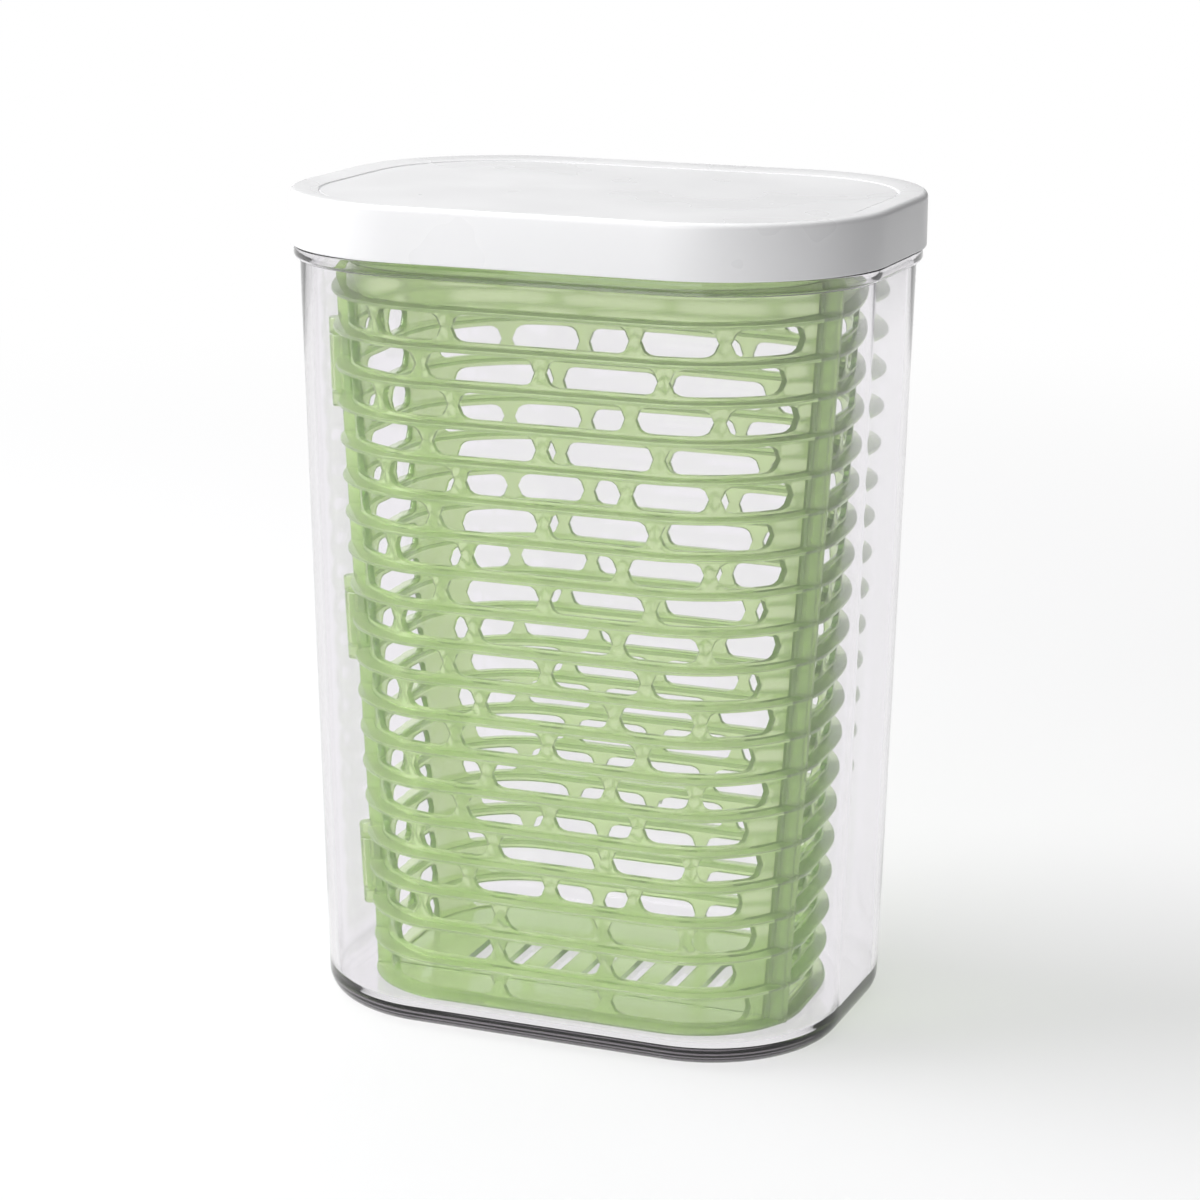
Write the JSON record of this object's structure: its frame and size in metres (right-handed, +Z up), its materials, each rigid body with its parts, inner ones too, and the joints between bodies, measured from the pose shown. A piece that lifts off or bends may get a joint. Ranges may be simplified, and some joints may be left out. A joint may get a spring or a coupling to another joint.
{
  "type": "herb keeper",
  "caption": "Clear rounded container with a lift-out slotted herb basket that opens like a door, and a flat plug-in lid with a sealing ring.",
  "frame": {"origin": "middle of the container's flat base, on the surface it stands on", "axes": "+Z up, long side along X, front (door side) towards -Y, hinges on the left at -X"},
  "size_m": [0.1574, 0.1156, 0.216],
  "materials": {
    "clear_plastic": "clear injection-moulded plastic, glossy",
    "green_plastic": "translucent pale green polypropylene, satin",
    "white_plastic": "white moulded plastic, fine satin",
    "seal_rubber": "soft translucent sealing rubber, matt"
  },
  "bodies": {
    "jar": {"container": "clear_plastic"},
    "basket": {"basket_tub": "green_plastic"},
    "door": {"basket_door": "green_plastic"},
    "lid": {"lid_cover": "white_plastic", "lid_liner": "white_plastic", "lid_seal": "seal_rubber"}
  },
  "joints": [
    {"name": "basket_lift", "type": "slide", "parent": "jar", "child": "basket", "axis": [0, 0, 1], "range_m": [0, 0.21]},
    {"name": "lid_lift", "type": "slide", "parent": "basket", "child": "lid", "axis": [0, 0, 1], "range_m": [0, 0.05]},
    {"name": "door_swing", "type": "hinge", "parent": "basket", "child": "door", "pos_m": [-0.06806, -0.02, 0.169], "axis": [0.0571, 0, -0.9984], "range_deg": [0, 0.8]}
  ]
}
